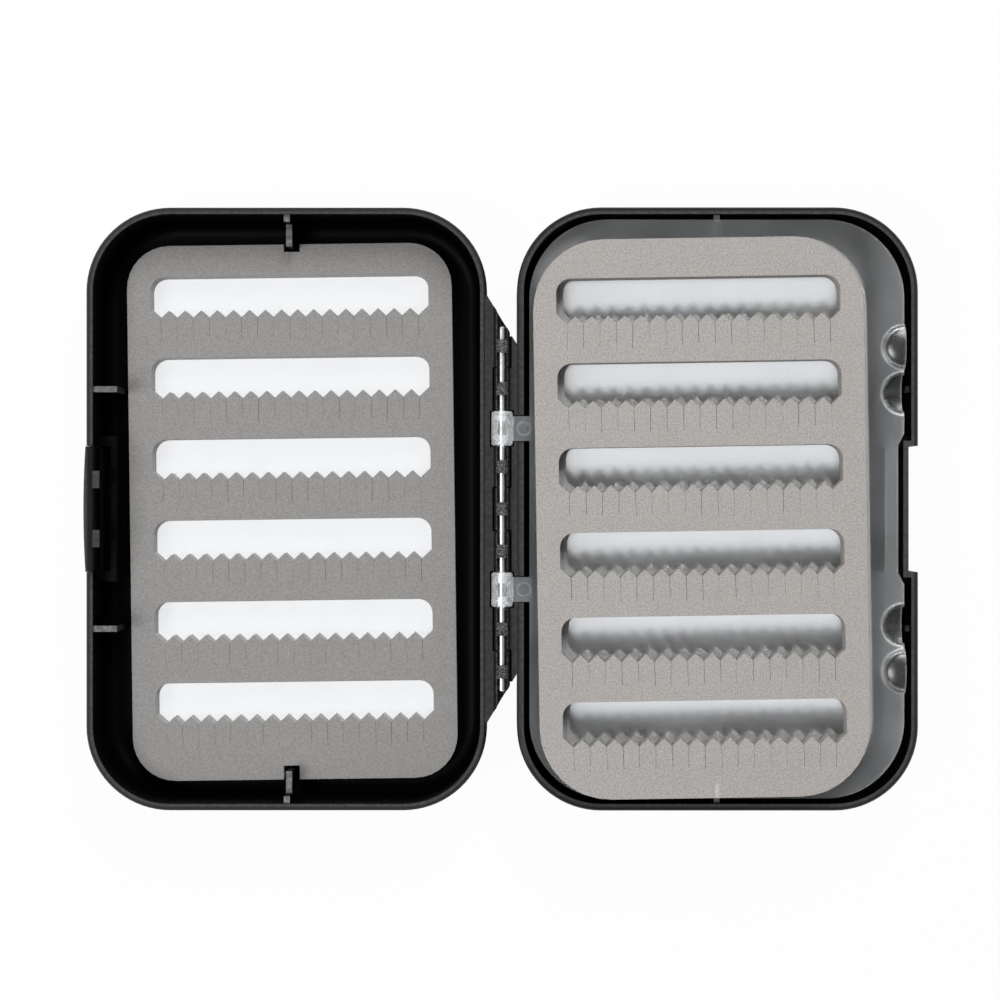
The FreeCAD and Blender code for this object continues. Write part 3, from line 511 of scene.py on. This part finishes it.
def adhesive_film():
    """Thin milky film with wrinkles."""
    finish = new_finish("adhesive_film")
    wrinkles = finish.noise(3, detail=4.0, stretch=(1.0, 0.4, 1.0))
    finish.surface(Base_Color=finish.blend(wrinkles, *FILM), Roughness=0.45, Alpha=0.45 + wrinkles * 0.2,
                   Normal=finish.bump(wrinkles, 0.05, 0.5))
    return finish.owner


def drawn_steel():
    """Bright drawn rod: streaks along its length and faint patches of dulled metal."""
    finish = new_finish("drawn_steel")
    streaks = finish.noise(0.15, detail=3.0, stretch=(1.0, 0.03, 1.0))
    dull = finish.patches(2.5, 0.5, 0.72, detail=4.0)
    finish.surface(Base_Color=finish.blend(dull, BRIGHT_STEEL, DULL_STEEL), Metallic=1.0,
                   Roughness=0.26 + streaks * 0.1 + dull * 0.1,
                   Normal=finish.bump(streaks, 0.01, 0.12))
    return finish.owner


def arc(centre, radius, start, end, steps=8):
    """Points on an arc, angles in degrees."""
    turns = [math.radians(start + (end - start) * step / steps) for step in range(steps + 1)]
    return [(centre[0] + radius * math.cos(turn), centre[1] + radius * math.sin(turn)) for turn in turns]


def rib_notches(cut, centre, turn):
    """The middle and depth of the notch that clears the rib at each end of a turned sheet."""
    side = math.copysign(TRAY_MIDDLE, centre.x)
    notches = {}
    for end in (1, -1):
        rib = Vector((side, end * RIB_TIP, 0)) - centre / MM
        rib.rotate(Matrix.Rotation(math.radians(-turn), 3, "Z"))
        notches[end] = (rib.x, cut.length / 2 - end * rib.y + RIB_NOTCH_CLEARANCE)
    return notches


def sheet_edge(cut, notches):
    """The foam's outer edge, with a notch for a rib in each end that has one."""
    half_width = cut.width / 2 - cut.radius
    half_length = cut.length / 2 - cut.radius
    points = []
    for quarter, (side, end) in enumerate(((1, 1), (-1, 1), (-1, -1), (1, -1))):
        centre = (side * half_width, end * half_length)
        points += arc(centre, cut.radius, quarter * 90, quarter * 90 + 90)
        if end in notches and quarter in (0, 2):
            middle, depth = notches[end]
            outer = end * cut.length / 2
            inner = outer - end * depth
            half = end * RIB_NOTCH_WIDTH / 2
            points += [(middle + half, outer), (middle + half, inner),
                       (middle - half, inner), (middle - half, outer)]
    return points


def slot_edge(cut, top, chance):
    """One slot: round upper corners, and teeth below with a slit down from each valley."""
    half = cut.slot_width / 2
    tips = top - cut.slot_height
    valleys = tips - TOOTH_HEIGHT
    pitch = (cut.slot_width - 2 * SLOT_END_MARGIN) / TOOTH_COUNT
    slope = TOOTH_HEIGHT / (pitch / 2)
    points = [(-half, valleys + SLOT_END_MARGIN * slope)]
    for number in range(TOOTH_COUNT + 1):
        x = -half + SLOT_END_MARGIN + number * pitch
        mouth = chance.uniform(*SLIT_WIDTHS) / 2
        foot = valleys - SLIT_LENGTH * chance.uniform(*SLIT_LENGTH_SHARES)
        lean = chance.uniform(-SLIT_LEAN, SLIT_LEAN)
        points += [(x - mouth, valleys + mouth * slope), (x - mouth + lean, foot),
                   (x + mouth + lean, foot), (x + mouth, valleys + mouth * slope)]
        if number < TOOTH_COUNT:
            points.append((x + pitch / 2, tips))
    points.append((half, valleys + SLOT_END_MARGIN * slope))
    points += arc((half - SLOT_CORNER, top - SLOT_CORNER), SLOT_CORNER, 0, 90)
    points += arc((SLOT_CORNER - half, top - SLOT_CORNER), SLOT_CORNER, 90, 180)
    return points


def cut_mesh(name, outlines, thickness):
    """A level mesh with slightly rounded edges, cut to closed outlines in millimetres."""
    curve = bpy.data.curves.new(f"{name}_cut", "CURVE")
    curve.dimensions = "2D"
    curve.fill_mode = "BOTH"
    curve.bevel_depth = EDGE_ROUND * MM
    curve.offset = -EDGE_ROUND * MM
    curve.bevel_resolution = 1
    curve.extrude = thickness / 2 - EDGE_ROUND * MM
    for points in outlines:
        spline = curve.splines.new("POLY")
        spline.points.add(len(points) - 1)
        for point, (x, y) in zip(spline.points, points):
            point.co = (x * MM, y * MM, 0, 1)
        spline.use_cyclic_u = True
    drawn = bpy.data.objects.new(f"{name}_drawn", curve)
    bpy.context.scene.collection.objects.link(drawn)
    bpy.context.view_layer.update()
    seen = drawn.evaluated_get(bpy.context.evaluated_depsgraph_get())
    mesh = bpy.data.meshes.new_from_object(seen)
    bpy.data.objects.remove(drawn)
    return mesh


def foam_sheet(node, cut, turn, material, body, notched=False, over=False):
    """A die-cut foam sheet in the place of its CAD node, turned a little as it was stuck down."""
    low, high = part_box(node)
    centre = (low + high) / 2
    chance = random.Random(node)
    slots = [slot_edge(cut, top, chance) for top in cut.tops()]
    notches = rib_notches(cut, centre, turn) if notched else {}
    mesh = cut_mesh(node, [sheet_edge(cut, notches)] + slots, high.z - low.z)
    place = Matrix.Translation(centre)
    if over:
        place = place @ Matrix.Rotation(math.pi, 4, "Y")
    mesh.transform(place @ Matrix.Rotation(math.radians(turn), 4, "Z"))
    mesh.name = f"{node}_sheet"
    mesh.materials.clear()
    mesh.materials.append(material)
    mesh.shade_smooth()
    mesh.set_sharp_from_angle(angle=math.radians(SHARP_ANGLE))
    sheet = bpy.data.objects.new(f"{node}_sheet", mesh)
    bpy.context.scene.collection.objects.link(sheet)
    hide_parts(node)
    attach(sheet, body)


def foams():
    grey_foam = slit_foam("grey_foam", GREY_FOAM, contrast=1.2, lit_cut_wall=LIT_CUT_WALL)
    pale_foam = slit_foam("pale_foam", PALE_FOAM, contrast=1.5)
    dented_foam = slit_foam("dented_pale_foam", PALE_FOAM, contrast=1.5, dent=DENT_PLACE)
    foam_sheet("lid_foam", TRAY_CUT, 0.75, grey_foam, "lid", notched=True)
    foam_sheet("base_foam", TRAY_CUT, 1.2, grey_foam, "base", notched=True)
    foam_sheet("leaf_front_foam", LEAF_CUT, 0.9, dented_foam, "leaf")
    foam_sheet("leaf_back_foam", LEAF_CUT, -0.9, pale_foam, "leaf", over=True)


def dress(material, *nodes):
    """Give CAD nodes a finish."""
    for node in nodes:
        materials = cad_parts[node].data.materials
        materials.clear()
        materials.append(material)


def finishes():
    dress(black_moulding(), "base_shell", "lid_shell", "latch")
    dress(frosted_leaf(), "leaf_plate")
    dress(clear_pane(), "base_window", "lid_window")
    dress(adhesive_film(), "base_tape", "lid_tape", "leaf_front_tape", "leaf_back_tape")
    dress(drawn_steel(), "hinge_pin")


def floor():
    """A pale floor, white to the camera and in glass and metal, that still takes a soft shadow."""
    mesh = bpy.data.meshes.new("floor")
    reach = FLOOR_REACH * MM
    level = FLOOR_LEVEL * MM
    corners = [(-reach, -reach, level), (reach, -reach, level),
               (reach, reach, level), (-reach, reach, level)]
    mesh.from_pydata(corners, [], [(0, 1, 2, 3)])
    ground = bpy.data.objects.new("floor", mesh)
    bpy.context.scene.collection.objects.link(ground)
    finish = new_finish("floor_paper")
    unseen = 1.0
    for ray in ("Is Camera Ray", "Is Glossy Ray", "Is Transmission Ray"):
        unseen = unseen * (1 - finish.node("ShaderNodeLightPath", output=ray))
    paper = finish.surface(Base_Color=grey(FLOOR_GREY), Roughness=1.0)
    white = finish.node("ShaderNodeEmission", inputs={"Color": grey(1.0), "Strength": 1.0})
    finish.end(finish.mix((1 - unseen) * FLOOR_WHITE, paper, white))
    mesh.materials.append(finish.owner)


def softbox(name, place, power, size):
    """A square lamp that faces the middle of the box, its place and size in metres."""
    lamp = bpy.data.lights.new(name, "AREA")
    lamp.energy = power
    lamp.size = size
    holder = bpy.data.objects.new(name, lamp)
    holder.location = place
    holder.rotation_euler = (-Vector(place)).to_track_quat("-Z", "Y").to_euler()
    bpy.context.scene.collection.objects.link(holder)


def light():
    """A plain pale surround, a key softbox on the lid's side and a fill softbox beyond the far end."""
    world = bpy.data.worlds.new("tent")
    bpy.context.scene.world = world
    finish = Finish(world)
    camera_ray = finish.node("ShaderNodeLightPath", output="Is Camera Ray")
    background = finish.tree.nodes["Background"]
    finish.feed(background.inputs["Color"], grey(1.0))
    finish.feed(background.inputs["Strength"], SURROUND + camera_ray * (1 - SURROUND))
    softbox("key_softbox", place=(-0.64, -0.26, 1.1), power=7.1, size=0.5)
    softbox("fill_softbox", place=(0.25, 0.95, 0.95), power=9.6, size=0.6)


def camera():
    view = bpy.data.cameras.new("camera")
    view.lens = CAMERA_LENS
    view.sensor_width = CAMERA_SENSOR
    view.clip_start = CAMERA_NEAR * MM
    holder = bpy.data.objects.new("camera", view)
    holder.location = Vector(CAMERA_PLACE) * MM
    bpy.context.scene.collection.objects.link(holder)
    bpy.context.scene.camera = holder


bpy.context.scene.view_settings.view_transform = "Standard"
camera()
light()
floor()
finishes()
foams()
